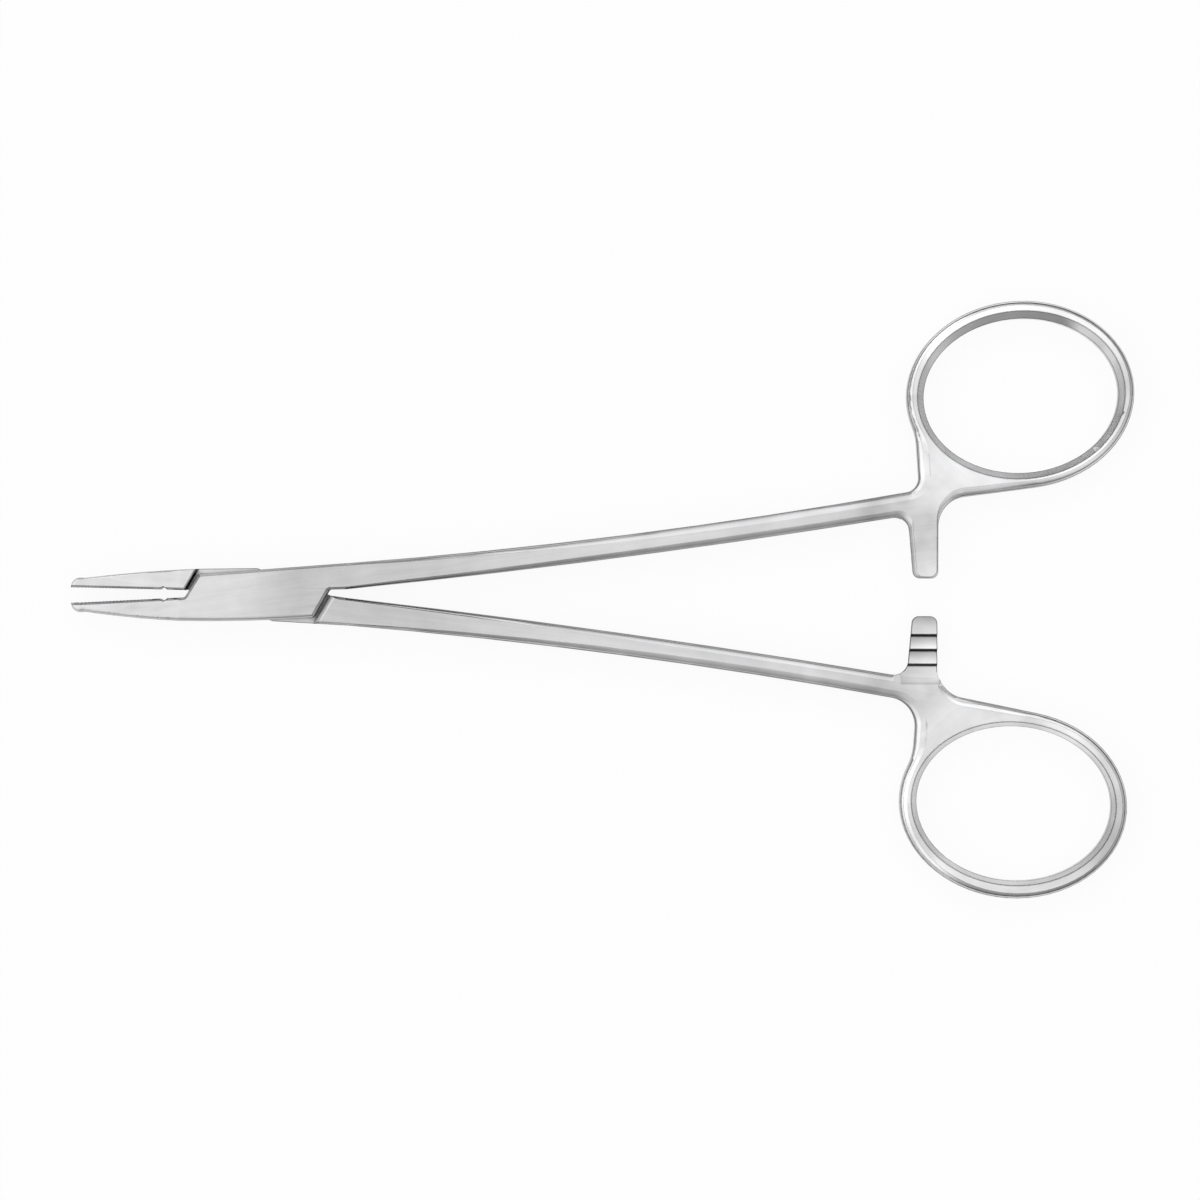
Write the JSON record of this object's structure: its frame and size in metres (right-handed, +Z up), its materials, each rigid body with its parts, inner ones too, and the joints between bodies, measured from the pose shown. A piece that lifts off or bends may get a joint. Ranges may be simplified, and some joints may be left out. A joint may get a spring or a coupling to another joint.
{
  "type": "surgical needle holder",
  "caption": "Straight surgical needle holder with a box lock, serrated jaws with a relief notch, slim shanks, ratchet arms and oval finger rings, standing slightly open.",
  "frame": {"origin": "where the axis of the lock meets the underside of the lock box", "axes": "+X from the jaws towards the finger rings, +Z up along the lock axis as the instrument lies flat"},
  "size_m": [0.149, 0.0838, 0.0046],
  "materials": {
    "steel": "satin"
  },
  "bodies": {
    "box_side": {"box_half": "steel", "lock_pin": "steel"},
    "tongue_side": {"tongue_half": "steel"}
  },
  "joints": [
    {"name": "lock", "type": "hinge", "parent": "box_side", "child": "tongue_side", "pos_m": [0, 0, 0], "axis": [0, 0, 1], "range_deg": [-55, 4.6]}
  ]
}
